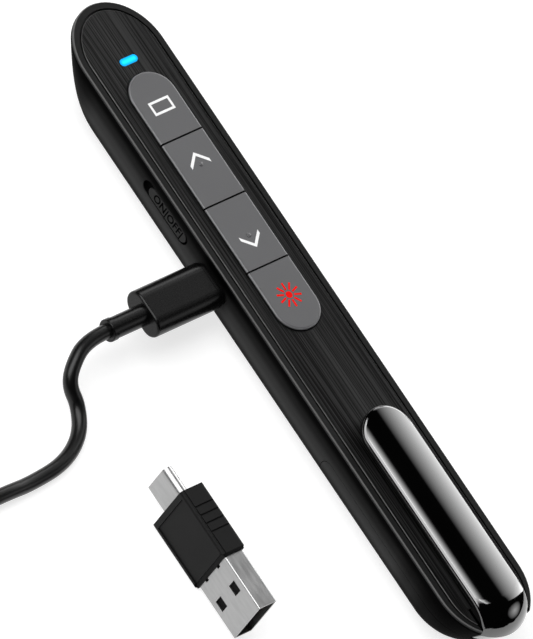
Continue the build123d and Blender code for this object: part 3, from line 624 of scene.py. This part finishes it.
def keyDot(name, body, d):
    # small raised dot that a thumb finds
    s = d["dot"]
    bm = bmesh.new()
    bmesh.ops.create_uvsphere(bm, u_segments=s["around"], v_segments=s["rings"], radius=s["radius"])
    bmesh.ops.scale(bm, vec=(1, 1, s["flatness"]), verts=bm.verts)
    bmesh.ops.translate(bm, vec=(0, s[body], d["keyTop"]), verts=bm.verts)
    for face in bm.faces:
        face.smooth = True
    pieceFrom(name, bm, body, keyPlastic)


screenPrint(printDials)
arrowPrint("up_print", "up_key", 1, printDials)
arrowPrint("down_print", "down_key", -1, printDials)
sunPrint(printDials)
keyDot("up_key_dot", "up_key", printDials)
keyDot("down_key_dot", "down_key", printDials)
print("key prints made")

# words on the power switch, in mm
letterDials = {
    "text": "ON|OFF|",
    "tall": 1.75,                         # height of a capital letter
    "capShare": 0.7,                      # of the lettering's size is the height of a capital
    "narrow": 0.95,
    "spacing": 1.05,
    "bold": 0.05,
    "deep": 0.03,
    "middle": (-9.95, 30.5, 8.55),
}


def switchLetters(d):
    data = bpy.data.curves.new("switch_letters", "FONT")
    data.body = d["text"]
    data.align_x = "CENTER"
    data.align_y = "CENTER"
    data.size = d["tall"] / d["capShare"] * mm
    data.extrude = d["deep"] / 2 * mm
    data.offset = d["bold"] * mm
    data.space_character = d["spacing"]
    flat = bpy.data.objects.new("switch_letters_flat", data)
    scene.collection.objects.link(flat)
    bpy.context.view_layer.update()
    mesh = bpy.data.meshes.new_from_object(flat)
    bpy.data.objects.remove(flat)
    # read from the left side: words run towards the tail, their tops towards the keys
    turn = Matrix(((0, 0, -1), (-d["narrow"], 0, 0), (0, 1, 0))).to_4x4()
    mesh.transform(Matrix.Translation(Vector(d["middle"]) * mm) @ turn)
    mesh.materials.clear()
    mesh.materials.append(printBlack)
    letters = bpy.data.objects.new("switch_letters", mesh)
    scene.collection.objects.link(letters)
    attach(letters, "power_switch")


switchLetters(letterDials)
print("switch lettered")

# studio: pale floor, soft panels that fade towards one side, dark room
studioDials = {
    "floorSize": 6.0,                     # m
    "floor": 0.42,
    "floorGlow": 0.75,
    "room": 0.006,
    "panels": {
        # toward: direction from the clicker; up: which way the panel's brighter side points
        # size in m, away in m; glow at the faint and at the bright side, and how its growth is bent
        # round: brightest in the middle; ends: share of its length over which each end fades
        "main": {"toward": (-0.485, 0.36, 0.875), "up": (-1, 0, 0), "size": (1.6, 1.92), "away": 1.69,
                 "glow": (4.3, 4.3), "ends": 0.25},
        "overhead": {"toward": (0.1104, 0.221, 0.9687), "up": (-1, 0, 0), "size": (0.9, 0.252), "away": 1.6,
                     "glow": (0.0, 5.8), "bend": 1.6},
        "back": {"toward": (0.583, 0.672, 0.457), "up": (0, 0, 1), "size": (0.8, 0.8), "away": 1.6,
                 "glow": (0.0, 4.5), "round": True},
        "front": {"toward": (0.70, -0.60, 0.40), "up": (0, 0, 1), "size": (1.1, 1.1), "away": 1.6,
                  "glow": (0.0, 2.2), "round": True},
        "right": {"toward": (0.846, 0.221, 0.484), "up": (0, 0, -1), "size": (1.20, 1.578), "away": 1.6,
                  "glow": (0.0, 6.4)},
    },
}


def makeFloor(d):
    bm = bmesh.new()
    bmesh.ops.create_grid(bm, x_segments=1, y_segments=1, size=d["floorSize"] / 2)
    mesh = bpy.data.meshes.new("floor")
    bm.to_mesh(mesh)
    bm.free()
    floor = bpy.data.objects.new("floor", mesh)
    scene.collection.objects.link(floor)
    paper = newFinish("floor_paper", Roughness=0.9, Specular_IOR_Level=0.0, Base_Color=(*grey(d["floor"]), 1),
                      Emission_Color=(1, 1, 1, 1), Emission_Strength=d["floorGlow"])[0]
    mesh.materials.append(paper)


def panelGlow(tree, p):
    # a panel's brightness from place to place; its own length and width run from 0 to 1
    across = addNode(tree, "ShaderNodeNewGeometry").outputs["Parametric"]
    if p.get("round"):
        share = rangeOf(tree, vectorOf(tree, "DISTANCE", across, (0.5, 0.5, 0)), 0.5, 0.0, 0.0, 1.0)
    else:
        share = splitOf(tree, across)["Y"]
    glow = rangeOf(tree, mathOf(tree, "POWER", share, p.get("bend", 1.0)), 0.0, 1.0, *p["glow"])
    if "ends" not in p:
        return glow
    fromEnd = mathOf(tree, "PINGPONG", splitOf(tree, across)["X"], 0.5)
    return mathOf(tree, "MULTIPLY", glow, rangeOf(tree, fromEnd, 0.0, p["ends"], 0.0, 1.0))


def makePanel(name, p):
    data = bpy.data.lights.new(name, "AREA")
    data.shape = "RECTANGLE"
    data.size, data.size_y = p["size"]
    data.energy = math.pi * data.size * data.size_y   # then the glow alone says how bright it looks
    data.use_nodes = True
    tree = data.node_tree
    feed(tree, tree.nodes["Emission"].inputs["Strength"], panelGlow(tree, p))
    panel = bpy.data.objects.new(name, data)
    scene.collection.objects.link(panel)
    back, up, left = squareTo(p["toward"], p["up"])
    turn = Matrix((-left, up, back)).transposed().to_4x4()
    panel.matrix_world = Matrix.Translation(back * p["away"]) @ turn
    panel.visible_camera = False


def makeRoom(d):
    world = bpy.data.worlds.new("room")
    world.use_nodes = True
    world.node_tree.nodes["Background"].inputs["Color"].default_value = (*grey(d["room"]), 1)
    scene.world = world
    scene.view_settings.view_transform = "Standard"


makeFloor(studioDials)
for panelName, panelDials in studioDials["panels"].items():
    makePanel(panelName, panelDials)
makeRoom(studioDials)
print("studio lit")
